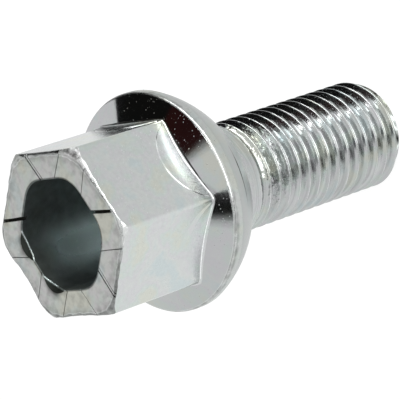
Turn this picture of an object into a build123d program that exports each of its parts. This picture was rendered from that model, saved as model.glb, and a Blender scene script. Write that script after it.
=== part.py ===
from build123d import *
import math
import os

# Wheel bolt with a ball seat, forged in one piece. Sizes in millimetres, angles in degrees.
# The bolt stands on its thread tip: the origin is the middle of the tip, and +Z runs up the axis to the head.
# One corner of the hexagon is on +X, so two of its flats face -Y and +Y.

# Shank, drawn at the major diameter of its M12 x 1.5 thread
shank_diameter = 11.9
shank_length = 25.0
tip_chamfer = 1.5

# Ball seat: a sphere from the shank up to an edge at an angle from the axis
seat_radius = 12.5
seat_edge_angle = 66.0
seat_foot_radius = 0.5

# Collar above the seat: a narrow bevel from the seat's edge, a straight land and a sloping front face
collar_diameter = 23.3
collar_bevel = 0.55
collar_land = 1.0
collar_slope = 23.0
collar_rim_radius = 0.35

# Hexagon: its height is from the front rim of the collar to the end face
hex_across_flats = 17.0
hex_height = 13.0
hex_edge_radius = 0.5

# Forged end of the hexagon: a cone takes off its corners, from a circle on the end face outwards
end_circle = 18.5
end_cone_angle = 45.0
end_edge_radius = 0.25

# Low step at the foot of each flat: a round pad that stands proud of the flat, with its middle below the collar's rim
foot_pad_arc = 4.9
foot_pad_top = 4.05
foot_pad_step = 0.08

# Six-cornered hollow in the end
hollow_across_flats = 11.3
hollow_corner_radius = 3.4
hollow_depth = 11.0
hollow_floor_chamfer = 0.8

# Two shallow scoops at the mouth of the hollow: each is a sphere that leaves a circle on the end face
mouth_scoop_sphere = 2.6
mouth_scoop_circle = 1.8
mouth_scoop_offset = 4.7
mouth_scoop_angles = (128, 180)

# Straight marks on the end face, beside the line from the axis to a corner and parallel to it: two deep notches
# and two wide shallow grooves. A place is the corner's angle and the side of its line, 1 or -1.
mark_offset = 1.95
notch_width = 0.4
notch_depth = 0.5
notch_places = ((-60, 1), (120, -1))
groove_width = 0.5
groove_depth = 0.1
groove_places = ((60, -1), (-120, 1))

# Heights and radii that follow
shank_radius = shank_diameter / 2
collar_radius = collar_diameter / 2
hex_radius = hex_across_flats / 2
hollow_radius = hollow_across_flats / 2
seat_centre_z = shank_length + math.sqrt(seat_radius**2 - shank_radius**2)
seat_edge_radius = seat_radius * math.sin(math.radians(seat_edge_angle))
seat_edge_z = seat_centre_z - seat_radius * math.cos(math.radians(seat_edge_angle))
land_z = seat_edge_z + collar_bevel
rim_z = land_z + collar_land
end_z = rim_z + hex_height


def turned_body():
    """Shank, ball seat and collar: half of the section, turned about the axis."""
    slope = math.tan(math.radians(collar_slope))
    cone_tip_z = rim_z + collar_radius * slope
    middle = (shank_radius + seat_edge_radius) / 2
    seat_middle = (middle, seat_centre_z - math.sqrt(seat_radius**2 - middle**2))
    seat_edge = (seat_edge_radius, seat_edge_z)
    with BuildPart() as body:
        with BuildSketch(Plane.XZ) as section:
            with BuildLine():
                Polyline(
                    (0, 0),
                    (shank_radius - tip_chamfer, 0),
                    (shank_radius, tip_chamfer),
                    (shank_radius, shank_length),
                )
                ThreePointArc((shank_radius, shank_length), seat_middle, seat_edge)
                Polyline(
                    seat_edge,
                    (collar_radius, land_z),
                    (collar_radius, rim_z),
                    (0, cone_tip_z),
                    (0, 0),
                )
            make_face()
            seat_foot = section.vertices().sort_by_distance((shank_radius, shank_length))[0]
            fillet(seat_foot, seat_foot_radius)
            rim = section.vertices().sort_by_distance((collar_radius, rim_z))[0]
            fillet(rim, collar_rim_radius)
        revolve(axis=Axis.Z)
    return body.part


def hexagon(across_flats, corner_radius, z):
    """Hexagon with rounded corners at a height, with one corner on +X."""
    outline = RegularPolygon(across_flats / 2, 6, major_radius=False)
    return Pos(0, 0, z) * fillet(outline.vertices(), corner_radius)


def foot_pads():
    """Round pads from the axis out through each flat, of which only an arc shows above the collar."""
    reach = hex_radius + foot_pad_step
    pad = Cylinder(foot_pad_arc, reach, align=(Align.CENTER, Align.CENTER, Align.MIN))
    outwards = Pos(0, 0, rim_z + foot_pad_top - foot_pad_arc) * Rot(-90, 0, 0) * pad
    return [Rot(0, 0, 60 * side) * outwards for side in range(6)]


def hexagon_body():
    """Hexagon and foot pads within a cone that takes off the end's corners, with a rounded edge round the end face."""
    height = end_z - land_z
    column = extrude(hexagon(hex_across_flats, hex_edge_radius, land_z), amount=height)
    for pad in foot_pads():
        column += pad
    cone_foot = end_circle / 2 + height / math.tan(math.radians(end_cone_angle))
    cone = Cone(cone_foot, end_circle / 2, height, align=(Align.CENTER, Align.CENTER, Align.MIN))
    body = column & Pos(0, 0, land_z) * Rot(0, 0, 30) * cone
    end_edges = body.edges().group_by(Axis.Z)[-1]
    return fillet(end_edges, end_edge_radius)


def hollow():
    """Six-cornered hollow with a chamfered floor."""
    mouth = hexagon(hollow_across_flats, hollow_corner_radius, end_z)
    cavity = extrude(mouth, amount=hollow_depth, dir=(0, 0, -1))
    floor_edges = cavity.edges().group_by(Axis.Z)[0]
    return chamfer(floor_edges, hollow_floor_chamfer)


def mouth_scoops():
    """Spheres that scoop the mouth of the hollow, each with its seam turned towards the axis."""
    lift = math.sqrt(mouth_scoop_sphere**2 - mouth_scoop_circle**2)
    scoop = Pos(mouth_scoop_offset, 0, end_z + lift) * Rot(0, 0, 180) * Sphere(mouth_scoop_sphere)
    return [Rot(0, 0, angle) * scoop for angle in mouth_scoop_angles]


def end_mark(width, depth, place):
    """Straight cut across the end face beside a corner's line, from inside the hollow out through the side."""
    corner_angle, side = place
    bar = Box(hex_across_flats, width, 2 * depth, align=(Align.MIN, Align.CENTER, Align.CENTER))
    return Rot(0, 0, corner_angle) * Pos(hollow_radius / 2, side * mark_offset, end_z) * bar


def wheel_bolt():
    """The whole forging as one solid."""
    bolt = turned_body() + hexagon_body()
    bolt -= hollow()
    for scoop in mouth_scoops():
        bolt -= scoop
    for place in notch_places:
        bolt -= end_mark(notch_width, notch_depth, place)
    for place in groove_places:
        bolt -= end_mark(groove_width, groove_depth, place)
    return bolt


os.makedirs("parts", exist_ok=True)
export_step(wheel_bolt(), "parts/wheel_bolt.step")
print(f"overall length {end_z:.2f} mm")
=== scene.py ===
# %% [markdown]
# # A zinc-plated wheel bolt
#
# The object is a wheel bolt forged in one piece: a hexagon head with a hollow end, a collar with a ball
# seat below it, and a shank with a rolled thread. It stands on its thread tip, so the axis of the bolt is
# +Z.
#
# The plain solid of the bolt is already packed. This lesson loads it as a fixed frame, works out a finer
# skin for it with numpy, plates that skin with zinc, and lights it as a small product is lit.

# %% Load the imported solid
import math

import bmesh
import bpy
import numpy as np
from mathutils import Matrix, Vector


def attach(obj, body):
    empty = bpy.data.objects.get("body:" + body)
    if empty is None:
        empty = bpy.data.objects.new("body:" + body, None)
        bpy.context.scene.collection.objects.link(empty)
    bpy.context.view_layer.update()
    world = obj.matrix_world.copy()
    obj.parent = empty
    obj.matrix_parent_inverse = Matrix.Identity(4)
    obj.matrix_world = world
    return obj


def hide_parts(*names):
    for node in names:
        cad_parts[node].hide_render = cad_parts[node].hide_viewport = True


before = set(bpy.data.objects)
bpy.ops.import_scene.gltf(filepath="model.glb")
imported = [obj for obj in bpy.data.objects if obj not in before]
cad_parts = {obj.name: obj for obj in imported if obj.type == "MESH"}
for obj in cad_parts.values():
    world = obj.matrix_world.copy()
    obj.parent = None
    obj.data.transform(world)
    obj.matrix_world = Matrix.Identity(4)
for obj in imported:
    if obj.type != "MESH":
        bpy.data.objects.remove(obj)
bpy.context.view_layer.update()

# %% [markdown]
# ## Sizes
#
# A skin that stands for a solid has to have that solid's sizes, or the dressed bolt would no longer fit
# its hub and its wrench. So the sizes of the solid are repeated here in millimetres, and one factor turns
# them into Blender's metres at the very end. Heights are counted from the thread tip.

# %% Sizes of the bolt
MM = 0.001

shank_radius = 5.95
shank_length = 25.0
tip_chamfer = 1.5
seat_radius = 12.5
seat_edge_angle = math.radians(66.0)
seat_foot_radius = 0.5
collar_radius = 11.65
collar_bevel = 0.55
collar_land = 1.0
collar_slope = math.radians(23.0)
collar_rim_radius = 0.35
hex_radius = 8.5
hex_height = 13.0
hex_edge_radius = 0.5
end_circle_radius = 9.25
hollow_radius = 5.65
hollow_corner_radius = 3.4
hollow_depth = 11.0
hollow_floor_round = 0.8

seat_centre_z = shank_length + math.sqrt(seat_radius**2 - shank_radius**2)
seat_edge_z = seat_centre_z - seat_radius * math.cos(seat_edge_angle)
land_z = seat_edge_z + collar_bevel
rim_z = land_z + collar_land
end_z = rim_z + hex_height

# %% [markdown]
# ## The hexagon's outline
#
# Three places of the head share one outline, a hexagon with rounded corners: the wrench flats, the end
# face and the hollow. As a polar function, it is the distance to a flat, or to the circle at a corner.
# Two more curves come back all over the bolt: a bell for what lies round one direction, such as wear or
# grime, and a smooth step for what fades out.

# %% Curves and the rounded hexagon
TURN = 2 * math.pi
SIXTH = TURN / 6


def wrapped(angle):
    """The same angle between minus and plus half a turn."""
    return (angle + TURN / 2) % TURN - TURN / 2


def bell(angle, middle, spread, power=2):
    """Bell curve round a direction: e to minus the angle from it over the spread, to an even power."""
    return np.exp(-(wrapped(angle - middle) / spread)**power)


def smooth_step(share):
    """Step from 0 to 1 with soft ends: three times the square of the clipped share less twice its cube."""
    share = np.clip(share, 0, 1)
    return share * share * (3 - 2 * share)


def from_corner(theta):
    """Angle from the nearest corner: what is left of it after whole sixths of a turn, without its sign."""
    return np.abs((theta + SIXTH / 2) % SIXTH - SIXTH / 2)


def rounded_hexagon(theta, inradius, corner_radius):
    """Radius of a hexagon with rounded corners.

    On a flat it is the inradius over the cosine of the angle from the middle of the flat. Near a corner it is
    the far crossing with the corner's circle, whose centre is on the line to the corner."""
    beta = from_corner(theta)
    centre = (inradius - corner_radius) / math.cos(SIXTH / 2)
    reach = centre + corner_radius * math.cos(SIXTH / 2)
    tangent = math.atan2(corner_radius * math.sin(SIXTH / 2), reach)
    flat = inradius / np.cos(SIXTH / 2 - beta)
    under_root = corner_radius**2 - (centre * np.sin(beta))**2
    circle = centre * np.cos(beta) + np.sqrt(np.maximum(under_root, 0))
    return np.where(beta < tangent, circle, flat)


print(f"wrench corners reach {rounded_hexagon(0.0, hex_radius, hex_edge_radius):.2f} mm from the axis")

# %% [markdown]
# ## One grid for the whole head
#
# A head like this could be cut with booleans, but they leave long slivers that shade badly on shiny
# metal. A polar grid is cleaner: every column runs down the head, every row is one step along the section
# of the bolt, and a shape is a radius and a height for each crossing.
#
# The end face carries straight marks from the die. Each lies beside the line from the axis to a corner
# and is parallel to it: two deep notches, two shallow grooves with a sunk line along each wall, and some
# hairlines. Columns follow the marks, so a column's angle depends on its distance from the axis. Dirt has
# settled in the marks, so each point of a mark's section has a sideways place, a depth and a share of
# grime.

# %% Marks on the end face
mark_offset = 1.95
mark_shapes = {
    "notch": ((-0.20, 0, 0.5), (-0.15, 0.5, 1), (0.15, 0.5, 1), (0.20, 0, 0.5)),
    "groove": (
        (-0.25, 0, 0), (-0.22, 0.16, 0.9), (-0.14, 0.16, 0.9), (-0.11, 0.05, 0.1),
        (0.11, 0.05, 0.1), (0.14, 0.16, 0.9), (0.22, 0.16, 0.9), (0.25, 0, 0),
    ),
    "hairline": ((-0.06, 0, 0), (-0.03, 0.07, 0.7), (0.03, 0.07, 0.7), (0.06, 0, 0)),
}
marks = [
    ("notch", -60, 1), ("notch", 120, -1), ("groove", 60, -1), ("groove", -120, 1),
    ("hairline", 0, 1), ("hairline", 0, -1), ("hairline", -60, -1), ("hairline", 120, 1),
    ("hairline", -120, -1), ("hairline", 180, 1), ("hairline", 180, -1),
]
mark_shape = np.concatenate([mark_shapes[kind] for kind, corner, side in marks])
mark_points = [len(mark_shapes[kind]) for kind, corner, side in marks]
mark_corner = np.radians(np.repeat([corner for kind, corner, side in marks], mark_points))
mark_line = np.repeat([side * mark_offset for kind, corner, side in marks], mark_points)
mark_place = mark_line + mark_shape[:, 0]


def reach_on_mark(inradius, corner_radius, rounds=8):
    """Distance from the axis at which a mark's line crosses an outline.

    The angle is the arcsine of the offset over the reach, and the reach follows from the angle, so a few
    rounds settle both."""
    reach = inradius
    for _ in range(rounds):
        reach = rounded_hexagon(np.arcsin(mark_offset / reach), inradius, corner_radius)
    return float(reach)


hollow_reach = reach_on_mark(hollow_radius, hollow_corner_radius)
side_reach = reach_on_mark(hex_radius, hex_edge_radius)
print(f"{len(marks)} marks cross from {hollow_reach:.2f} to {side_reach:.2f} mm from the axis")

# %% Columns that follow the marks
even_columns = 318
corner_pull = 0.65
layout_reach = 7.5
mark_clearance = 0.05


def beside_corner(away, reach):
    """Angle from a corner at a reach, for a column laid out at the layout reach.

    The part of a sixth before the mark's line and the part after it are both stretched evenly, so that a
    column never crosses the line."""
    line = np.arcsin(mark_offset / reach)
    laid = math.asin(mark_offset / layout_reach)
    size = np.abs(away)
    before = size * line / laid
    after = SIXTH / 2 - (SIXTH / 2 - size) * (SIXTH / 2 - line) / (SIXTH / 2 - laid)
    return np.sign(away) * np.where(size < laid, before, after)


steps = np.arange(even_columns) / even_columns * TURN - TURN / 2
even_angle = steps - corner_pull * np.sin(6 * steps) / 6
even_corner = np.round(even_angle / SIXTH) * SIXTH
even_away = even_angle - even_corner
same_corner = np.abs(wrapped(even_corner[:, None] - mark_corner)) < SIXTH / 2
is_clear = np.ones(even_columns, bool)
for reach in (hollow_reach, side_reach):
    sideways = reach * np.sin(beside_corner(even_away, reach))[:, None] - mark_line
    too_near = same_corner & (np.abs(sideways) < np.abs(mark_shape[:, 0]) + mark_clearance)
    is_clear &= ~too_near.any(axis=1)
# The shank takes every second column, so their number has to be even.
odd_one = np.flatnonzero(is_clear)[:is_clear.sum() % 2]
is_clear[odd_one] = False

column_corner = np.concatenate([even_corner[is_clear], mark_corner])
column_away = np.concatenate([even_away[is_clear], 0 * mark_place])
column_place = np.concatenate([np.full(is_clear.sum(), np.nan), mark_place])
column_level = np.concatenate([np.zeros(is_clear.sum()), mark_shape[:, 1]])
column_grime = np.concatenate([np.zeros(is_clear.sum()), mark_shape[:, 2]])


def columns_at(reach):
    """Angle of every column at a reach from the axis.

    A mark's column keeps its distance from the corner's line, so its angle from the corner is the arcsine of
    that distance over the reach. The even columns between are stretched along."""
    on_mark = np.arcsin(column_place / reach)
    even = beside_corner(column_away, reach)
    return column_corner + np.where(np.isnan(column_place), even, on_mark)


order = np.argsort(wrapped(columns_at(layout_reach)))
column_corner, column_away, column_place, column_level, column_grime = (
    values[order] for values in (column_corner, column_away, column_place, column_level, column_grime)
)
column_count = len(order)
print(column_count, "columns, of which", len(mark_place), "belong to marks on the end face")

# %% [markdown]
# ## The hollow in the end
#
# A punch makes the hollow while the head is forged, so it has a rounded floor and six soft corners. At
# two places the punch has torn a shallow scoop out of the mouth. A scoop is part of a sphere whose centre
# lies above the end face, and the wall is whichever reaches further from the axis, the hexagon or the
# sphere. A scoop is darkened with painted shade, and a painted highlight runs along its lip. The hollow is
# stained all round, but for one place deep on one wall where the stain is left off as a painted
# reflection.

# %% Wall of the hollow with its scoops
scoop_sphere = 2.6
scoop_circle = 1.8
scoop_offset = 4.7
scoop_angles = np.radians([128, 180])
scoop_lift = math.sqrt(scoop_sphere**2 - scoop_circle**2)
mouth_round = 0.10


def scoop_reach(theta, depth):
    """Reach of the scoops at a depth below the end face, or nothing beside them.

    A sphere's slice at that depth is a circle. Its far crossing is offset times cosine plus the root of
    slice radius squared less offset times sine squared."""
    turn = wrapped(theta[..., None] - scoop_angles)
    slice_square = scoop_sphere**2 - (scoop_lift + depth)**2
    under_root = slice_square[..., None] - (scoop_offset * np.sin(turn))**2
    is_cut = (under_root > 0) & (np.cos(turn) > 0)
    sphere = scoop_offset * np.cos(turn) + np.sqrt(np.maximum(under_root, 0))
    return np.where(is_cut, sphere, 0).max(axis=-1)


def hollow_wall(theta, depth):
    """Radius of the hollow at a depth below the end face: the hexagon with a rounded mouth, or the scoops.

    The mouth's rounding adds its radius less the root of that radius squared less the square of the height
    above its foot."""
    above_foot = np.maximum(mouth_round - depth, 0)
    rounding = mouth_round - np.sqrt(mouth_round**2 - above_foot**2)
    radius = rounded_hexagon(theta, hollow_radius, hollow_corner_radius) + rounding
    return np.maximum(radius, scoop_reach(theta, depth))


print(f"scoops reach {scoop_offset + scoop_circle:.2f} mm from the axis")

# %% Floor, wall and mouth of the hollow
# Painted shade in the scoops, a painted highlight on their lip, the hollow's stain, and a painted reflection
# where the stain is left off one wall
scoop_shade_width = 0.15
lip_highlight_width = 0.07
lip_highlight_share = 0.6
hollow_stain = 0.75
reflection_wall = math.radians(143)
reflection_spread = math.radians(19)
reflection_from = 1.0
reflection_fade = 4.0
floor_z = end_z - hollow_depth
rows = []


def add_rows(finish, theta, radius, height, grime_and_painted_light=0.0):
    """Keeps rows of the skin: angle, radius, height, and a share of grime and painted light, on one grid, and
    the name of their finish.
    """
    theta, radius, height, grime_and_painted_light = np.broadcast_arrays(theta, radius, height, grime_and_painted_light)
    rows.append((theta, radius, height, grime_and_painted_light, [finish] * len(theta)))
    print(f"{finish}: {len(theta)} rows, radius {radius.min():.2f} to {radius.max():.2f} mm")


def down(*values):
    """Values as one column of an array, so that they run along the section and not round the axis."""
    return np.array(values, float)[:, None]


theta = columns_at(hollow_reach)[None, :]
bend = down(0, 25, 45, 65) * math.pi / 180
inset = hollow_floor_round * (1 - np.sin(bend))
hollow_outline = rounded_hexagon(theta, hollow_radius, hollow_corner_radius)
floor_corner_radius = hollow_corner_radius - hollow_floor_round
floor_edge = rounded_hexagon(theta, hollow_radius - hollow_floor_round, floor_corner_radius)
add_rows("hollow_floor", theta, down(0, 0.3, 0.6, 0.85) * floor_edge, floor_z)
floor_bend_z = floor_z + hollow_floor_round * (1 - np.cos(bend))
add_rows("hollow_floor", theta, hollow_outline - inset, floor_bend_z)
depth = down(
    10.2, 8, 6, 4, 2.5, 1.2, 0.74, 0.62, 0.54, 0.47, 0.41, 0.35, 0.29, 0.23, 0.17, 0.10, 0.06, 0.03, 0.01, 0
)
# Painted shade darkens the scoops, a painted highlight lightens their lip, and the stain is left off one
# place on the wall as a painted reflection
torn = scoop_reach(theta, depth) - hollow_outline
painted_reflection = bell(theta, reflection_wall, reflection_spread) * np.clip((depth - reflection_from) / reflection_fade, 0, 1)
stain = hollow_stain * (1 - painted_reflection)
lip_highlight = np.exp(-((torn + lip_highlight_width / 2) / lip_highlight_width)**2)
hollow_stain_shade_and_highlight = np.maximum(stain, np.clip(torn / scoop_shade_width, 0, 1)) * (1 - lip_highlight_share * lip_highlight)
add_rows("hollow", theta, hollow_wall(theta, depth), end_z - depth, hollow_stain_shade_and_highlight)

# %% [markdown]
# ## The end face and its edge
#
# The end face is flat and dull. Rows run from the mouth of the hollow to the outer edge, and a mark is a
# limit on the height: its columns may not rise above its floor. So grooves and hairlines run out through
# both edges, while the notches stop short of the outer one.
#
# The punch has driven the corners outwards, so some sides draw in between them, and a chamfer leads from
# each corner of the hexagon to the softer corner of the end face. The edge is rounded, a little unevenly,
# and more where the corners at 0 and 60 degrees are worn. A broken dark line runs along it, partly dirt
# and partly painted shade; it is left off on the lit side round -30 degrees, where the lamp's highlight
# falls.

# %% Wear and waist of the end
edge_width = 0.20
edge_wobble = 0.045
fast_waves, faster_waves, slow_waves = 31, 47, 13
worn_width = 0.28
worn_drop = 0.20
worn_corners = np.radians([0, 60])
worn_shares = np.array([1.0, 0.45])
worn_spread = math.radians(20)
waist_sides = np.radians([150, 90, 30, -30, -90, -150])
waist_depths = np.array([0.26, 0.06, 0.04, 0.03, 0.04, 0.08])
waist_middle = math.radians(7)
waist_limit = math.radians(18)
corner_stretch = 1 / math.cos(SIXTH / 2)
end_corner_radius = (hex_radius * corner_stretch - end_circle_radius) / (corner_stretch - 1)


def worn(theta):
    """Wear of the corners: the sum of a bell curve round each worn corner, times its share."""
    return (worn_shares * bell(theta[..., None], worn_corners, worn_spread)).sum(axis=-1)


def edge_round(theta):
    """Width of the end's edge rounding: a plain width, waves of wobble, and more at the worn corners."""
    wobble = np.sin(fast_waves * theta + 1) + np.sin(faster_waves * theta + 2) * np.sin(slow_waves * theta)
    return edge_width + edge_wobble * wobble + worn_width * worn(theta)


def waist(theta):
    """How far the sides draw in at the end: a depth for each side, which eases out before the corners."""
    away = np.abs(wrapped(theta[..., None] - waist_sides))
    return (waist_depths * smooth_step((waist_limit - away) / (waist_limit - waist_middle))).sum(axis=-1)


def end_outline(theta):
    """Outline of the end face before its edge is rounded.

    It is a hexagon whose rounded corners reach the end's circle, less the waist and the wear."""
    plain = rounded_hexagon(theta, hex_radius, end_corner_radius)
    return plain - waist(theta) - worn_drop * worn(theta)


print(f"corners of the end face have a radius of {end_corner_radius:.2f} mm")

# %% End face
face_grime = 0.27
scoop_smudge = 0.45
smudge_spread = math.radians(14)
smudge_reach = 0.2
outer_smudge = 0.15
share = down(0.06, 0.2, 0.4, 0.6, 0.8, 0.94)
theta = columns_at(hollow_reach + share * (side_reach - hollow_reach))
mouth = hollow_wall(theta, np.zeros_like(theta))
beside_scoop = bell(theta[..., None], scoop_angles, smudge_spread).sum(axis=-1)
smudge = scoop_smudge * beside_scoop * np.exp(-(share / smudge_reach)**2) + outer_smudge * share**4
face_radius = mouth + share * (end_outline(theta) - edge_round(theta) - mouth)
add_rows("end_face", theta, face_radius, end_z, face_grime + smudge)

# %% Edge of the end face and chamfered corners
chamfer_lean = math.cos(math.radians(45))
chamfer_weight = math.cos(math.radians(45 / 2))
# Lit side and spread where the broken dark line of dirt and painted shade is left off
lit_side = math.radians(-30)
lit_spread = math.radians(40)
worn_clean = 0.6
line_share = 0.2
edge_line_grime = 0.55
edge_face_grime = 0.30
broken_dirt_and_shade = 0.65
chamfer_dirt_and_shade = 0.60


def arc_between(start, middle, end, share, weight):
    """Arc that leaves one line and meets another, as a weighted curve of three points.

    The weights are one minus share squared, twice the weight times share times its rest, and share squared,
    over their sum. With the cosine of half the turn as weight, and equal tangents, the curve is part of a
    circle."""
    first, last = (1 - share)**2, share**2
    centre = 2 * weight * share * (1 - share)
    return (first * start + centre * middle + last * end) / (first + centre + last)


theta = columns_at(side_reach)[None, :]
hexagon = rounded_hexagon(theta, hex_radius, hex_edge_radius)
narrow = hexagon - waist(theta)
outline = end_outline(theta)
width = edge_round(theta)
on_chamfer = np.clip((narrow - outline) / (width * chamfer_lean), 0, 1)
edge_end_radius = np.minimum(outline + width * chamfer_lean, narrow)
edge_end_z = end_z - width * (1 - (1 - chamfer_lean) * on_chamfer)
weight = chamfer_lean + (chamfer_weight - chamfer_lean) * on_chamfer
# Broken dark line along the edge, partly dirt and partly painted shade: left off on the lit side, thinner at
# the worn corners
dirt_and_shade_line = (1 - bell(theta, lit_side, lit_spread, 4)) * (1 - worn_clean * worn(theta))
share = down(0, 0.15, 0.3, 0.45, 0.6, 0.75, 0.9, 1)
plain_grime = np.where(share < line_share, edge_line_grime, edge_face_grime)
add_rows(
    "edges",
    theta,
    arc_between(outline - width, outline, edge_end_radius, share, weight),
    arc_between(end_z, end_z, edge_end_z, share, weight),
    np.maximum(plain_grime, broken_dirt_and_shade * dirt_and_shade_line),
)
chamfer_z = np.minimum(end_z - (narrow - outline), edge_end_z)
share = down(0.06, 0.5, 0.94, 1)
add_rows(
    "edges",
    theta,
    edge_end_radius + share * (narrow - edge_end_radius),
    edge_end_z + share * (chamfer_z - edge_end_z),
    chamfer_dirt_and_shade * dirt_and_shade_line,
)

# %% [markdown]
# ## The wrench flats
#
# Below the end the flats come back from their waist to the hexagon. Near the collar each flat has a low
# step, the edge of a round pad that the die left proud, which shows as a bright arc across the flat. Two
# rows close together on each side of that step keep it crisp, because smooth shading spreads a crease
# over the faces beside it. On the flat at -90 degrees the rows lie further apart, because its step is
# worn soft. The step fades out where the arc runs into the collar, beside the corners.

# %% Flats and their foot pads
waist_length = 1.3
foot_pad_arc = 4.9
foot_pad_top = 4.05
foot_pad_step = 0.08
step_fade = 0.6
slope = math.tan(collar_slope)


def front_z(radius):
    """Height of the collar's front: the rim's height plus the distance from the rim times the slope."""
    return rim_z + (collar_radius - radius) * slope


along_flat = hex_radius * np.tan(SIXTH / 2 - from_corner(theta))
arc_z = rim_z + foot_pad_top - foot_pad_arc + np.sqrt(np.maximum(foot_pad_arc**2 - along_flat**2, 0))
pad = hexagon + foot_pad_step * np.clip((arc_z - front_z(hexagon)) / step_fade, 0, 1)

below = down(0.03, 0.25, 0.5, 0.75, 1.0, waist_length)
add_rows("flats", theta, hexagon - waist(theta) * (1 - below / waist_length)**2, chamfer_z - below)

# %% [markdown]
# ## The foot of the hexagon and the collar's front
#
# The flats run into the sloping front of the collar with a small rounding. The rounding is an arc that
# touches both lines of the section at the same distance from where they cross. On one side a dark line
# of painted shade lies in it.

# %% Foot rounding and the step of the pads
foot_round_middle = 0.42
foot_round_corner = 0.30
foot_shade_spread = math.radians(62)
foot_line_share = 0.7
step_room = 0.15
step_half_height = 0.08
step_half_bevel = 0.05
soft_pad = math.radians(-90)
soft_pad_spread = math.radians(29)
soft_pad_height = 5
soft_pad_limit = 0.6
to_corner = np.cos(6 * theta) / 2 + 0.5
foot_round = foot_round_middle + (foot_round_corner - foot_round_middle) * to_corner
half_turn = (math.pi / 2 - collar_slope) / 2
tangent = foot_round * math.tan(half_turn)
foot_z = front_z(pad)
arc_top_z = foot_z + tangent
arc_end_radius = pad + tangent * math.cos(collar_slope)

step_above_foot = np.maximum(arc_z - arc_top_z, step_room)
soft_step = 1 + soft_pad_height * bell(theta, soft_pad, soft_pad_spread, 4)
soft_step = np.minimum(soft_step, np.maximum(soft_pad_limit * step_above_foot / step_half_height, 1))
step_rows = down(step_half_height, step_half_bevel, -step_half_bevel, -step_half_height)
step_z = arc_top_z + step_above_foot + soft_step * step_rows
add_rows("flats", theta, np.concatenate([hexagon, hexagon, pad, pad]), step_z)
add_rows("flats", theta, pad, (step_z[-1] + arc_top_z) / 2)
add_rows("flats", theta, pad, arc_top_z)
share = down(0.15, 0.3, 0.45, 0.6, 0.75, 0.9, 1)
# Dark line of painted shade low in the rounding, round the corner at 0 degrees
foot_shade = np.where(share > foot_line_share, bell(theta, 0, foot_shade_spread, 4), 0)
add_rows(
    "flats",
    theta,
    arc_between(pad, pad, arc_end_radius, share, math.cos(half_turn)),
    arc_between(arc_top_z, foot_z, front_z(arc_end_radius), share, math.cos(half_turn)),
    foot_shade,
)

# %% Sloping front of the collar
rim_centre_radius = collar_radius - collar_rim_radius
rim_centre_z = front_z(rim_centre_radius) - collar_rim_radius / math.cos(collar_slope)
front_end_radius = rim_centre_radius + collar_rim_radius * math.sin(collar_slope)
share = down(0.03, 0.25, 0.5, 0.75, 0.97, 1)
front_radius = arc_end_radius + share * (front_end_radius - arc_end_radius)
add_rows("collar_front", theta, front_radius, front_z(front_radius))

# %% [markdown]
# ## Rim, band and ball seat
#
# The rest of the head is turned: rim, straight band, narrow bevel, the ball that centres the wheel, and a
# small rounding where the ball meets the shank. A dark line of painted shade lies in that rounding, the
# ball darkens towards it with more painted shade, and a shorter dark line of painted shade lies high on
# the ball. The rim's rounding is darkened with painted shade too, but for a painted highlight round -38
# degrees. Each arc is a centre plus a radius times cosine and sine. On the way down the columns relax to
# even angles, which the thread needs.

# %% Rim, band, ball seat and neck
neck_end_z = 24.1
neck_step = 0.25
rim_step = 8
band_edge = 0.05
# Painted shade on the rim's rounding, with a painted highlight round -38 degrees
rim_line_shade = 0.50
rim_highlight = math.radians(-38)
rim_highlight_spread = math.radians(18)
rim_highlight_share = 0.6
# Painted shade on the ball seat: a dark line high on the ball, a darkening towards its foot, and a dark line
# in the foot's rounding
seat_line_tilt = -30.2
seat_line_half = 0.3
seat_line_gap = 1.0
seat_line_middle = math.radians(-52)
seat_line_spread = math.radians(16)
seat_line_shade = 0.85
seat_low_shade = 0.40
seat_foot_shade = 0.75
even_theta = (np.arange(column_count) + 0.5) / column_count * TURN - TURN / 2
relax_by = wrapped(even_theta - theta)


def arc_rows(finish, centre_radius, centre_z, arc_radius, angles, relaxed, count, grime_and_painted_light=0.0):
    """Rows on an arc, at angles in degrees: centre plus radius times cosine outwards and sine upwards."""
    angle = np.radians(np.linspace(*angles, count))[:, None]
    row_theta = theta + np.linspace(*relaxed, count)[:, None] * relax_by
    radius = centre_radius + arc_radius * np.cos(angle)
    add_rows(finish, row_theta, radius, centre_z + arc_radius * np.sin(angle), grime_and_painted_light)


rim_first = 90 - math.degrees(collar_slope) - rim_step
# Painted shade narrows the rim's highlight, and less of it round -38 degrees paints a highlight there
rim_shade = rim_line_shade * (1 - rim_highlight_share * bell(theta, rim_highlight, rim_highlight_spread))
rim = ("edges", rim_centre_radius, rim_centre_z, collar_rim_radius)
arc_rows(*rim, (rim_first, 0), (0, 0.1), 8, rim_shade)
add_rows("collar_band", theta + down(0.15, 0.2) * relax_by, collar_radius, down(land_z + band_edge, land_z))

foot_centre_radius = shank_radius + seat_foot_radius
foot_centre_z = seat_centre_z - math.sqrt((seat_radius + seat_foot_radius)**2 - foot_centre_radius**2)
ball_end = math.degrees(math.asin(foot_centre_radius / (seat_radius + seat_foot_radius)))
ball_first = math.degrees(seat_edge_angle)
ball = ("ball_seat", 0, seat_centre_z, seat_radius)
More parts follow.
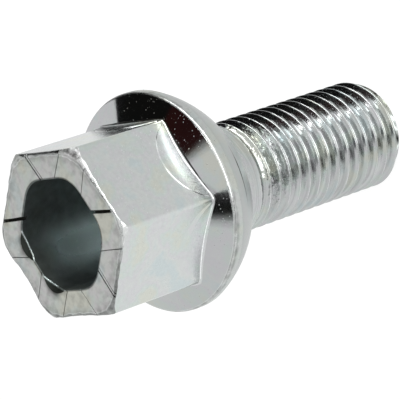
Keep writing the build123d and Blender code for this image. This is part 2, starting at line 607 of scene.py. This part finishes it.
# Painted shade: the dark line high on the ball, then more and more of it towards the foot
seat_shade_line = seat_line_shade * bell(theta, seat_line_middle, seat_line_spread)
low_rows = 11
low_shade = np.linspace(0, seat_low_shade, low_rows)[:, None]
line_edges = (seat_line_tilt + seat_line_half, seat_line_tilt - seat_line_half)
arc_rows(*ball, (ball_first - 90, seat_line_tilt + seat_line_gap), (0.2, 0.26), 3)
arc_rows(*ball, line_edges, (0.28, 0.28), 2, seat_shade_line)
arc_rows(*ball, (seat_line_tilt - seat_line_gap, ball_end - 90), (0.3, 0.8), low_rows, low_shade)
foot = ("ball_seat", foot_centre_radius, foot_centre_z, seat_foot_radius)
arc_rows(*foot, (90 + ball_end, 180), (0.85, 1), 5, seat_foot_shade)
add_rows("thread", theta + relax_by, shank_radius, down(neck_end_z + 2 * neck_step, neck_end_z + neck_step))

# %% [markdown]
# ## The rolled thread
#
# A thread could be a profile swept along a helix, but then its ends need trimming. Here the grid itself
# is sheared: each row climbs one pitch per turn, so the grooves lie exactly along rows and stay sharp
# with few faces. At the seam, a row meets the row one pitch higher. Heights are limited to the shank, the
# depth fades out below the neck, and the tip's chamfer is one more limit on the radius.

# %% Threaded shank on a sheared grid
pitch = 1.5
thread_depth = 0.92
crest_half_width = 0.085
fold_depth = 0.05
fold_half_width = 0.035
crest_ease = 0.10
root_ease = 0.12
fade_from = 20.8
fade_to = 23.7
shank_theta = even_theta[::2]
shank_columns = len(shank_theta)
tip_radius = shank_radius - tip_chamfer

half_profile = np.array([0.035, 0.07, 0.12, 0.27, 0.45, 0.60, 0.69])
profile_steps = np.concatenate([[0], half_profile, pitch - half_profile[::-1]])
rows_per_pitch = len(profile_steps)


def groove_depth(step):
    """Depth below the crest at a step along the pitch.

    From the middle of the nearest crest, the flank falls by the distance over the tangent of 30 degrees. A
    parabola eases each end of that line, and a narrow fold marks the middle of the rolled crest."""
    away = np.abs((step + pitch / 2) % pitch - pitch / 2)
    line = (away - crest_half_width) / math.tan(math.radians(30))
    share = np.clip(line / thread_depth, -crest_ease, 1 + root_ease)
    eased = np.where(share < crest_ease, (share + crest_ease)**2 / (4 * crest_ease), share)
    eased = np.where(share > 1 - root_ease, 1 - (1 + root_ease - share)**2 / (4 * root_ease), eased)
    fold = fold_depth * np.clip(1 - away / fold_half_width, 0, 1)
    return thread_depth * eased + fold


turns = math.ceil(neck_end_z / pitch) + 1
row_turn = np.repeat(np.arange(turns), rows_per_pitch)
row_start = neck_end_z - row_turn * pitch - np.tile(profile_steps, turns)
climb = pitch * (shank_theta - shank_theta[0]) / TURN
shank_z = np.clip(row_start[:, None] + climb, 0, neck_end_z)
groove = groove_depth(row_start)[:, None] * smooth_step((fade_to - shank_z) / (fade_to - fade_from))
shank_r = np.minimum(shank_radius - groove, tip_radius + shank_z)
print(f"thread: grid {shank_z.shape}, radius {shank_r.min():.2f} to {shank_r.max():.2f} mm")

# %% [markdown]
# The rolling dies also leave fine lines along the thread. A pattern that follows them needs a place that
# runs along the helix without a seam, so every point of the shank gets one: two coordinates go round a
# circle once per pitch, and the third counts turns along the helix.

# %% Places along the helix
lines_per_pitch = 9
lines_along = 5
round_pitch = TURN * row_start[:, None] / pitch + 0 * shank_theta
along_helix = shank_theta / TURN - row_turn[:, None]
helix_place = np.stack([
    lines_per_pitch / TURN * np.cos(round_pitch),
    lines_per_pitch / TURN * np.sin(round_pitch),
    lines_along * along_helix,
], axis=-1)
print("helix places:", helix_place.shape)

# %% [markdown]
# ## One closed mesh
#
# The bolt is one forging, so its skin is one closed mesh. Rows of the head join into quads by index
# arithmetic. The shank has half as many columns, so a strip of five-sided faces joins the two, and the
# tip is closed with rings. First the marks are sunk into the end face, where both notches stop short of
# the edge, one more than the other. Faces of the sheared grid that lie wholly on one of its limits have
# no height and are left out. Points that fell together, as at the middle of the floor, are then merged.

# %% Rows of the head with their marks
head_theta, head_r, head_z, head_grime_and_painted_light = (np.concatenate([row[part] for row in rows]) for part in range(4))
head_finish = [name for row in rows for name in row[4]]
groove_level = 0.2
short_notch = math.radians(-60)
short_notch_stop = 0.40
other_notch_stop = 0.22
mark_start = hollow_radius - 0.1
is_short_notch = np.abs(wrapped(column_corner - short_notch)) < SIXTH / 2
stop = side_reach - np.where(is_short_notch, short_notch_stop, other_notch_stop)
level = np.where((column_level > groove_level) & (head_r > stop), 0, column_level)
is_sunk = (head_r > mark_start) & (level > 0) & (head_z >= end_z - level)
head_z = np.where(is_sunk, end_z - level, head_z)
head_grime_and_painted_light = np.where(is_sunk, np.maximum(head_grime_and_painted_light, column_grime), head_grime_and_painted_light)
print(f"head: {len(head_theta)} rows, {is_sunk.sum()} points sunk in marks")

# %% Faces of the forging
height_slack = 1e-6
tip_r = down(0.66, 0.33, 0) * tip_radius


def polar_points(theta, radius, z):
    """Points of a polar grid in metres: radius times cosine, radius times sine, and height."""
    theta, radius, z = np.broadcast_arrays(theta, radius, z)
    return np.stack([radius * np.cos(theta), radius * np.sin(theta), z], axis=-1).reshape(-1, 3) * MM


def quads_between(here, beside):
    """Quads of a grid of point numbers: a point, the one beside it, and both on the next row."""
    return np.stack([here[:-1], beside[:-1], beside[1:], here[1:]], axis=-1).reshape(-1, 4)


head_points = polar_points(head_theta, head_r, head_z)
shank_points = polar_points(shank_theta, shank_r, shank_z)
points = np.concatenate([head_points, shank_points, polar_points(shank_theta, tip_r, 0)])
shank_first = len(head_points)
tip_first = shank_first + len(shank_points)

head_grid = np.arange(shank_first).reshape(-1, column_count)
head_quads = quads_between(head_grid, np.roll(head_grid, -1, axis=1))
last_ring = np.append(head_grid[-1], head_grid[-1, 0])
shank_grid = np.arange(shank_first, tip_first).reshape(-1, shank_columns)
joint_faces = np.stack([
    last_ring[:-1:2],
    last_ring[1::2],
    last_ring[2::2],
    np.roll(shank_grid[0], -1),
    shank_grid[0],
], axis=-1)

one_pitch_up = np.maximum(np.arange(len(shank_grid)) - rows_per_pitch, 0)
beside = np.concatenate([shank_grid[:, 1:], shank_grid[one_pitch_up, :1]], axis=1)
shank_quads = quads_between(shank_grid, beside)
face_z = points[shank_quads, 2] / MM
is_at_neck = np.all(face_z > neck_end_z - height_slack, axis=1)
is_at_tip = np.all(face_z < height_slack, axis=1)
shank_quads = shank_quads[~(is_at_neck | is_at_tip)]
tip_grid = np.arange(tip_first - shank_columns, len(points)).reshape(-1, shank_columns)
tip_quads = quads_between(tip_grid, np.roll(tip_grid, -1, axis=1))
print(len(head_quads), "quads on the head,", len(shank_quads), "on the shank")

# %% [markdown]
# Each face takes the finish of its row. Only the edge at the worn corner in front is bruised, so it takes
# a rougher one.

# %% Mesh of the forging
bruise_from = math.radians(-22)
bruise_to = math.radians(13)


def keep_at_points(mesh, name, values, first=0):
    """Attribute of a mesh: the values from a first point on, and zeros at all other points."""
    whole = np.zeros((len(mesh.vertices), *values.shape[1:]))
    whole[first:first + len(values)] = values
    kind, field = ("FLOAT", "value") if values.ndim == 1 else ("FLOAT_VECTOR", "vector")
    mesh.attributes.new(name, kind, "POINT").data.foreach_set(field, whole.ravel())


finish_names = list(dict.fromkeys(head_finish)) + ["bruised_edge"]
row_finish = np.array([finish_names.index(name) for name in head_finish[1:]])[:, None]
is_end_edge = (row_finish == finish_names.index("edges")) & (head_z[1:] > rim_z + hex_height / 2)
is_bruised = is_end_edge & (head_theta[1:] > bruise_from) & (head_theta[1:] < bruise_to)
face_finish = np.concatenate([
    np.where(is_bruised, finish_names.index("bruised_edge"), row_finish).ravel(),
    np.full(len(joint_faces) + len(shank_quads) + len(tip_quads), finish_names.index("thread")),
])
faces = head_quads.tolist() + joint_faces.tolist() + shank_quads.tolist() + tip_quads.tolist()

skin = bpy.data.meshes.new("forged_bolt")
skin.from_pydata(points.tolist(), [], faces)
skin.polygons.foreach_set("material_index", face_finish.astype(np.int32))

keep_at_points(skin, "rolled_along", helix_place.reshape(-1, 3), shank_first)
keep_at_points(skin, "groove_share", (groove / thread_depth).ravel(), shank_first)
keep_at_points(skin, "grime_and_painted_light", head_grime_and_painted_light.ravel())
print("mesh before merging:", len(points), "points,", len(faces), "faces")

# %% Closed and smooth skin
merge_distance = 0.002 * MM
sharp_angle = math.radians(38)


def put_in_scene(name, data):
    """New object with a mesh, a lamp or a camera, linked into the scene."""
    thing = bpy.data.objects.new(name, data)
    bpy.context.scene.collection.objects.link(thing)
    return thing


build = bmesh.new()
build.from_mesh(skin)
bmesh.ops.remove_doubles(build, verts=build.verts, dist=merge_distance)
bmesh.ops.dissolve_degenerate(build, edges=build.edges, dist=merge_distance / 2)
if build.calc_volume(signed=True) < 0:
    bmesh.ops.reverse_faces(build, faces=build.faces)
open_edges = sum(1 for edge in build.edges if len(edge.link_faces) != 2)
volume = build.calc_volume() / MM**3
triangles = sum(len(face.verts) - 2 for face in build.faces)
build.to_mesh(skin)
build.free()

skin.polygons.foreach_set("use_smooth", np.ones(len(skin.polygons), bool))
skin.set_sharp_from_angle(angle=sharp_angle)
forged_bolt = put_in_scene("forged_bolt", skin)
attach(forged_bolt, "root")
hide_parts("wheel_bolt")
print(f"skin: {triangles} triangles, {open_edges} open edges, {volume:.0f} cubic millimetres")

# %% [markdown]
# ## Zinc plating
#
# Bright zinc is a grey metal with a thin clear film that shows faint blue, green and straw tints, and
# with tiny specks where the film is rough. All finishes share that effect and differ in how smooth the
# steel was below it, so it is one node group: noise for the tints, a finer noise for unevenness, and dots
# for specks. Grime and painted shade darken and dull the film where the mesh says so, and noise breaks
# them up. A painted highlight is a place where the mesh gives less of them.

# %% Helpers for numbers
NOISE_MEAN = 0.5


def feed(tree, node, values):
    """Feeds a node's inputs from other nodes' sockets, or sets them to plain numbers and colours."""
    for name, value in values.items():
        if isinstance(value, bpy.types.NodeSocket):
            tree.links.new(value, node.inputs[name])
        else:
            node.inputs[name].default_value = value


def new_node(tree, kind, values=None, **settings):
    """New shader node whose settings are made before its inputs are fed."""
    node = tree.nodes.new("ShaderNode" + kind)
    for name, setting in settings.items():
        setattr(node, name, setting)
    feed(tree, node, values or {})
    return node


def math_node(tree, operation, first, second, clamp=False):
    """Result of an operation on two numbers or sockets."""
    values = {0: first, 1: second}
    return new_node(tree, "Math", values, operation=operation, use_clamp=clamp).outputs["Value"]


def noise_node(tree, place, scale, detail):
    """Noise of a scale at a place, from 0 to 1."""
    return new_node(tree, "TexNoise", {"Vector": place, "Scale": scale, "Detail": detail}).outputs["Fac"]


def swing_node(tree, noise, amount):
    """Noise less its mean, times an amount."""
    return math_node(tree, "MULTIPLY", math_node(tree, "SUBTRACT", noise, NOISE_MEAN), amount)


print("helpers for numbers: math, noise and swing nodes")

# %% Helpers for colours, ranges and attributes


def mix_node(tree, blend, factor, first, second):
    """Two colours mixed or multiplied by a factor."""
    values = {"Factor": factor, "A": first, "B": second}
    return new_node(tree, "Mix", values, data_type="RGBA", blend_type=blend).outputs["Result"]


def grey_node(tree, level):
    """Grey colour of a level."""
    return new_node(tree, "CombineColor", {"Red": level, "Green": level, "Blue": level}).outputs["Color"]


def range_node(tree, value, source, target):
    """Value carried from one range to another, and kept within it."""
    names = ("Value", "From Min", "From Max", "To Min", "To Max")
    return new_node(tree, "MapRange", dict(zip(names, (value, *source, *target)))).outputs["Result"]


def attribute_node(tree, name, output="Fac"):
    """Attribute of the mesh at each point."""
    return new_node(tree, "Attribute", attribute_name=name).outputs[output]


def new_material(name):
    """New material with nodes, and its node tree."""
    material = bpy.data.materials.new(name)
    material.use_nodes = True
    return material, material.node_tree


print("more helpers: mix, grey, range and attribute nodes, and a new material")

# %% Node group for the plating
plating_inputs = ("Base", "Tint", "Roughness", "Unevenness", "Specks", "Patchiness", "Grime_and_painted_light")
plating_outputs = ("Colour", "Roughness", "Height")
tint_stops = [
    (0.36, (0.91, 0.97, 1.0, 1)),
    (0.44, (1.0, 1.0, 1.0, 1)),
    (0.50, (0.99, 0.96, 1.0, 1)),
    (0.56, (0.95, 1.0, 0.98, 1)),
    (0.64, (1.0, 0.99, 0.92, 1)),
]
grime_and_shade_tint = (0.045, 0.045, 0.04, 1)
tint_scale = 260
fine_scale = 2600
speck_scale = 2600
speck_size = 0.15
speck_patch_scale = 620
grime_and_shade_scale = 1100
grime_and_shade_gain = 1.7
grime_and_shade_start = 0.45
grime_and_shade_dulling = 0.3


def plating_group():
    """Group that puts out a tinted colour, a roughness and a height, all from noise on Object coordinates.

    Colour is the base multiplied by a tint that drifts with broad noise, mottled by fine noise, and darkened
    by grime and painted shade less noise. Roughness is the base plus fine noise, raised at specks and where
    grime and painted shade lie. Height is fine noise plus a dot at each speck."""
    group = bpy.data.node_groups.new("zinc_plating", "ShaderNodeTree")
    for way, names in (("INPUT", plating_inputs), ("OUTPUT", plating_outputs)):
        for name in names:
            kind = "NodeSocketColor" if name in ("Base", "Colour") else "NodeSocketFloat"
            group.interface.new_socket(name, in_out=way, socket_type=kind)

    inlet = group.nodes.new("NodeGroupInput").outputs
    outlet = group.nodes.new("NodeGroupOutput")
    place = new_node(group, "TexCoord").outputs["Object"]

    tints = new_node(group, "ValToRGB", {"Fac": noise_node(group, place, tint_scale, 3)})
    ramp = tints.color_ramp
    ramp.elements[0].position, ramp.elements[0].color = tint_stops[0]
    ramp.elements[1].position, ramp.elements[1].color = tint_stops[-1]
    for position, colour in tint_stops[1:-1]:
        ramp.elements.new(position).color = colour
    colour = mix_node(group, "MULTIPLY", inlet["Tint"], inlet["Base"], tints.outputs["Color"])

    # Grime and painted shade darken and dull the film; a painted highlight is a place with less of them
    patch = swing_node(group, noise_node(group, place, grime_and_shade_scale, 3), inlet["Patchiness"])
    darkening = math_node(group, "MULTIPLY", inlet["Grime_and_painted_light"], grime_and_shade_gain)
    dirt_and_shade = math_node(group, "SUBTRACT", darkening, math_node(group, "ADD", patch, grime_and_shade_start), clamp=True)

    fine = noise_node(group, place, fine_scale, 4)
    swing = swing_node(group, fine, inlet["Unevenness"])
    brightness = math_node(group, "ADD", swing, 1.0)
    mottled = new_node(group, "VectorMath", {0: colour, "Scale": brightness}, operation="SCALE")

    dots = new_node(group, "TexVoronoi", {"Vector": place, "Scale": speck_scale})
    inside = math_node(group, "LESS_THAN", dots.outputs["Distance"], speck_size)
    speckled = math_node(group, "GREATER_THAN", noise_node(group, place, speck_patch_scale, 2), NOISE_MEAN)
    speck = math_node(group, "MULTIPLY", math_node(group, "MULTIPLY", inside, speckled), inlet["Specks"])
    uneven = math_node(group, "ADD", inlet["Roughness"], swing)
    dull = math_node(group, "ADD", speck, math_node(group, "MULTIPLY", dirt_and_shade, grime_and_shade_dulling))
    feed(group, outlet, {
        "Colour": mix_node(group, "MULTIPLY", dirt_and_shade, mottled.outputs["Vector"], grime_and_shade_tint),
        "Roughness": math_node(group, "ADD", uneven, dull, clamp=True),
        "Height": math_node(group, "ADD", fine, speck),
    })
    return group


plating = plating_group()
print("plating group with", len(plating.nodes), "nodes")

# %% [markdown]
# ## Finishes
#
# The punch leaves the hollow smooth and hardly plated, the end face dull, the flats satin, the collar's
# front almost a mirror, the band and ball satin again, and the rolled thread shiny. Each finish is a
# material with the shared group and its own values. Their base greys also differ part by part, set
# lighter or darker than the one plating would be, as painted light and shade.

# %% Materials of the bolt
# Base greys differ part by part, set lighter or darker as painted light and shade on one plating
# Relief in millimetres, then the group's inputs from Base to Patchiness
finishes = {
    "hollow_floor": (0.012, (0.70, 0.78, 0.78, 1), 0.6, 0.50, 0.25, 0.2, 0.9),
    "hollow": (0.002, (0.70, 0.785, 0.78, 1), 0.6, 0.25, 0.05, 0.3, 0.2),
    "end_face": (0.020, (0.50, 0.51, 0.49, 1), 1.0, 0.42, 0.25, 0.2, 0.9),
    "edges": (0.020, (0.66, 0.68, 0.67, 1), 0.4, 0.18, 0.20, 0.3, 0.9),
    "bruised_edge": (0.060, (0.80, 0.81, 0.80, 1), 0.4, 0.40, 0.50, 0.8, 0.9),
    "flats": (0.003, (0.585, 0.61, 0.597, 1), 1.0, 0.21, 0.18, 0.25, 0.9),
    "collar_front": (0.002, (0.472, 0.486, 0.482, 1), 1.0, 0.07, 0.04, 0.4, 0.9),
    "collar_band": (0.010, (0.495, 0.518, 0.500, 1), 0.6, 0.30, 0.20, 0.2, 0.9),
    "ball_seat": (0.006, (0.43, 0.45, 0.44, 1), 0.6, 0.36, 0.15, 0.2, 0.9),
    "thread": (0.003, (0.470, 0.488, 0.480, 1), 1.0, 0.14, 0.10, 0.2, 0.9),
}


def plated_material(name, bump, *inputs):
    """Metal whose colour, roughness and fine relief come from the plating group."""
    material, tree = new_material(name)
    values = dict(zip(plating_inputs, (*inputs, attribute_node(tree, "grime_and_painted_light"))))
    coat = new_node(tree, "Group", values, name="plating", node_tree=plating).outputs
    relief = new_node(tree, "Bump", {"Strength": 1.0, "Distance": bump * MM, "Height": coat["Height"]})
    feed(tree, tree.nodes["Principled BSDF"], {
        "Metallic": 1.0,
        "Base Color": coat["Colour"],
        "Roughness": coat["Roughness"],
        "Normal": relief.outputs["Normal"],
    })
    return material


for name in finish_names:
    skin.materials.append(plated_material("zinc_" + name, *finishes[name]))
print("finishes:", ", ".join(finish_names))

# %% [markdown]
# ## Rolling lines on the thread
#
# The thread's own material gets three more effects between the plating and the shader. Noise at the
# places along the helix is stretched into fine lines, painted shade darkens the root of the groove by the
# share of the groove, and the run-out below the neck, which the dies hardly touched, stays rough.

# %% Lines and dark roots
line_relief = 2.2
line_shade = 0.42
root_shade = 0.30
root_sharpness = 8.0
rough_relief = 30.0
rough_scale = 1500
rough_from = 16.0 * MM
rough_to = 21.0 * MM

tree = skin.materials[finish_names.index("thread")].node_tree
coat = tree.nodes["plating"].outputs
rolled = noise_node(tree, attribute_node(tree, "rolled_along", "Vector"), 1.0, 3)
# Painted shade in the roots of the thread, by the share of the groove
root = math_node(tree, "POWER", attribute_node(tree, "groove_share"), root_sharpness)
root_dark = math_node(tree, "MULTIPLY", root, -root_shade)
shade = math_node(tree, "ADD", swing_node(tree, rolled, 2 * line_shade), root_dark)
grey = grey_node(tree, math_node(tree, "ADD", shade, 1.0))
shaded = mix_node(tree, "MULTIPLY", 1.0, coat["Colour"], grey)
feed(tree, tree.nodes["Principled BSDF"], {"Base Color": shaded})

place = new_node(tree, "TexCoord").outputs["Object"]
above_tip = new_node(tree, "SeparateXYZ", {"Vector": place}).outputs["Z"]
run_out = range_node(tree, above_tip, (rough_from, rough_to), (0, rough_relief))
rough = math_node(tree, "MULTIPLY", noise_node(tree, place, rough_scale, 2), run_out)
lines = math_node(tree, "ADD", rough, math_node(tree, "MULTIPLY", rolled, line_relief))
feed(tree, tree.nodes["Bump"], {"Height": math_node(tree, "ADD", coat["Height"], lines)})
print("thread material with", len(tree.nodes), "nodes")

# %% [markdown]
# ## Floor and surroundings
#
# The bolt stands on a pale floor in white surroundings, so a white background needs no extra light: the
# floor and the world show white to the camera and to mirrors, and light the bolt at a plain level. In
# mirrors the floor's paper also turns greyer to one side of the bolt, which gives the flats of the
# hexagon their different greys.

# %% White surroundings
sky_light = 0.6
sky_white = 1.0


def two_levels(tree, other, white):
    """Strength that is one level for the camera, mirrors and glass, and another for all other light.

    The largest of three ray flags, each 0 or 1, is carried to the two levels."""
    path = new_node(tree, "LightPath").outputs
    mirrors = math_node(tree, "MAXIMUM", path["Is Glossy Ray"], path["Is Transmission Ray"])
    seen = math_node(tree, "MAXIMUM", path["Is Camera Ray"], mirrors)
    return range_node(tree, seen, (0, 1), (other, white))


world = bpy.data.worlds.new("white_surroundings")
bpy.context.scene.world = world
world.use_nodes = True
tree = world.node_tree
sky_values = {"Color": (1, 1, 1, 1), "Strength": two_levels(tree, sky_light, sky_white)}
feed(tree, tree.nodes["Background"], sky_values)
print("world:", sky_white, "for the camera and mirrors,", sky_light, "for other light")

# %% Pale floor
half_floor = 3.0
paper_colour = (0.30, 0.30, 0.30, 1)
paper_light = 0.30
paper_white = 0.83
paper_shade = 0.43
shade_azimuth = math.radians(35)
shade_from = -15 * MM
shade_to = 75 * MM
floor_mesh = bpy.data.meshes.new("floor")
corners = np.array([(-1, -1, 0), (1, -1, 0), (1, 1, 0), (-1, 1, 0)]) * half_floor
floor_mesh.from_pydata(corners.tolist(), [], [(0, 1, 2, 3)])
floor = put_in_scene("floor", floor_mesh)

paper, tree = new_material("pale_paper")
place = new_node(tree, "TexCoord").outputs["Object"]
away = (math.cos(shade_azimuth), math.sin(shade_azimuth), 0)
across = new_node(tree, "VectorMath", {0: place, 1: away}, operation="DOT_PRODUCT").outputs["Value"]
falling = range_node(tree, across, (shade_from, shade_to), (0, paper_shade))
in_mirrors = new_node(tree, "LightPath").outputs["Is Glossy Ray"]
grey_share = math_node(tree, "MULTIPLY", falling, in_mirrors)
feed(tree, tree.nodes["Principled BSDF"], {
    "Base Color": paper_colour,
    "Roughness": 1.0,
    "Specular IOR Level": 0,
    "Emission Color": grey_node(tree, math_node(tree, "SUBTRACT", 1.0, grey_share)),
    "Emission Strength": two_levels(tree, paper_light, paper_white),
})
floor_mesh.materials.append(paper)
print("floor of", 2 * half_floor, "metres")

# %% [markdown]
# ## Dark cards
#
# Shiny metal looks flat when all around it is white, so dark cards stand outside the picture, as in a
# product studio. A flat card would need its own place and tilt. A part of a dome round the bolt needs only
# its range of azimuth and elevation. The cards show in reflections only, and fade to white at their soft
# sides.

# %% Directions and soft sides
card_points = 32
hard_side = 1e-6


def dome_direction(azimuth, elevation):
    """Direction at angles in degrees: cosine of elevation times cosine and sine of azimuth, and its sine."""
    azimuth, elevation = np.radians(azimuth), np.radians(elevation)
    level = np.cos(elevation)
    return np.stack([level * np.cos(azimuth), level * np.sin(azimuth), np.sin(elevation)], axis=-1)


def soft_ramp(low, high):
    """Ramp along one side of a card: rises over the low share of it and falls over the high share, eased."""
    along = np.linspace(0, 1, card_points)
    rise = smooth_step((along + hard_side) / max(low, hard_side))
    fall = smooth_step((1 - along + hard_side) / max(high, hard_side))
    return rise * fall


print("a soft side rises by", soft_ramp(0.3, 0)[:10:3].round(2).tolist())

# %% Dark cards on a dome
card_reach = 0.30


def dark_card(name, azimuths, elevations, colour, soft_azimuth=(0, 0), soft_elevation=(0, 0)):
    """Part of a dome round the bolt, seen in reflections only.

    Points are the reach times the direction at each azimuth and elevation. The colour fades to white by the
    product of two ramps."""
    directions = dome_direction(*np.meshgrid(
        np.linspace(*azimuths, card_points), np.linspace(*elevations, card_points)
    ))
    card_places = directions.reshape(-1, 3) * card_reach + np.array([0, 0, rim_z * MM])
    grid = np.arange(card_points**2).reshape(card_points, card_points)
    mesh = bpy.data.meshes.new(name)
    mesh.from_pydata(card_places.tolist(), [], quads_between(grid[:, :-1], grid[:, 1:]).tolist())
    depth = np.outer(soft_ramp(*soft_elevation), soft_ramp(*soft_azimuth))
    keep_at_points(mesh, "cloth_share", depth.ravel())

    material, tree = new_material(name)
    share = attribute_node(tree, "cloth_share")
    feed(tree, tree.nodes["Principled BSDF"], {
        "Base Color": (0, 0, 0, 1),
        "Specular IOR Level": 0,
        "Emission Color": mix_node(tree, "MIX", share, (1, 1, 1, 1), (*colour, 1)),
        "Emission Strength": 1,
    })
    mesh.materials.append(material)

    card = put_in_scene(name, mesh)
    card.visible_camera = False
    card.visible_diffuse = False
    card.visible_shadow = False
    print(f"{name}: azimuth {azimuths}, elevation {elevations} degrees")


black_cloth = (0.008, 0.008, 0.008)
dark_card("side_card", (48, 95.5), (-5, 52), black_cloth)
dark_card("warm_card", (34, 108), (52, 78), (0.030, 0.009, 0.009), soft_elevation=(0, 0.28))
dark_card("front_card", (16, 48), (42, 64), (0.018, 0.010, 0.009), soft_azimuth=(0.2, 0))
dark_card("top_flag", (-190, -130), (69, 85.5), black_cloth, (0.1, 0.2), (0.5, 0))
dark_card("thread_flag", (-118, -60), (64, 82), (0.05, 0.06, 0.07), (0.3, 0.3), (0.2, 0.2))
dark_card("low_card", (-104, -70), (1, 26), black_cloth, (0.3, 0.3), (0, 0.3))

# %% [markdown]
# ## Lamps
#
# Six softboxes give the highlights: a wide one beyond the upper edge of the picture, which runs along the
# edges, a small one that puts a bright spot on each turn of the thread, one in front that lights the
# thread by way of the seat, one low on the left and a small one near the floor for the feet of the flats,
# and one for the chamfered corner. An area lamp is placed by azimuth and elevation and turned to the
# bolt.

# %% Softboxes
bolt_middle = Vector((0, 0, 0.026))


def softbox(name, azimuth, elevation, reach, width, height, power):
    """Area lamp at a direction and a reach from the bolt, turned to face it."""
    direction = Vector(dome_direction(azimuth, elevation))
    lamp = bpy.data.lights.new(name, "AREA")
    lamp.shape = "RECTANGLE"
    lamp.size = width
    lamp.size_y = height
    lamp.energy = power
    holder = put_in_scene(name, lamp)
    holder.location = bolt_middle + direction * reach
    holder.rotation_euler = direction.to_track_quat("Z", "Y").to_euler()
    print(f"{name}: {power} W on {width} by {height} m")


softbox("wide_softbox", 13, 6, 0.60, 0.66, 0.16, 2.0)
softbox("side_softbox", 23, 64, 0.50, 0.055, 0.055, 0.095)
softbox("front_softbox", -46, 31, 0.60, 0.56, 0.22, 0.90)
softbox("left_softbox", -121, 3, 0.60, 0.40, 0.14, 0.20)
softbox("corner_softbox", -49, 49, 0.50, 0.07, 0.07, 0.07)
softbox("foot_softbox", -9, -2, 0.30, 0.05, 0.03, 0.020)

# %% [markdown]
# ## Camera
#
# The photograph's camera was worked out from the hexagon and the thread: a long lens, above the head and
# to one side, and rolled so that the bolt lies across the picture. A camera's own axes are its right, its
# up and the way back from what it looks at, so those three directions are the columns of its matrix.

# %% Camera at the photograph's view
camera_place = Vector((141.948, -177.300, 226.388)) * MM
camera_ahead = Vector((-0.47232, 0.58350, -0.66064)).normalized()
camera_up = Vector((0.86997, 0.42895, -0.24329))
camera_right = camera_ahead.cross(camera_up).normalized()
camera_up = camera_right.cross(camera_ahead)

lens = bpy.data.cameras.new("camera")
lens.sensor_width = 36.0
lens.lens = 262.30
lens.clip_start = 0.01
lens.clip_end = 20
camera = put_in_scene("camera", lens)
turn = Matrix((camera_right, camera_up, -camera_ahead)).transposed()
camera.matrix_world = Matrix.Translation(camera_place) @ turn.to_4x4()
bpy.context.scene.camera = camera
bpy.context.scene.view_settings.view_transform = "Standard"
print("camera at", [round(v, 4) for v in camera.location])
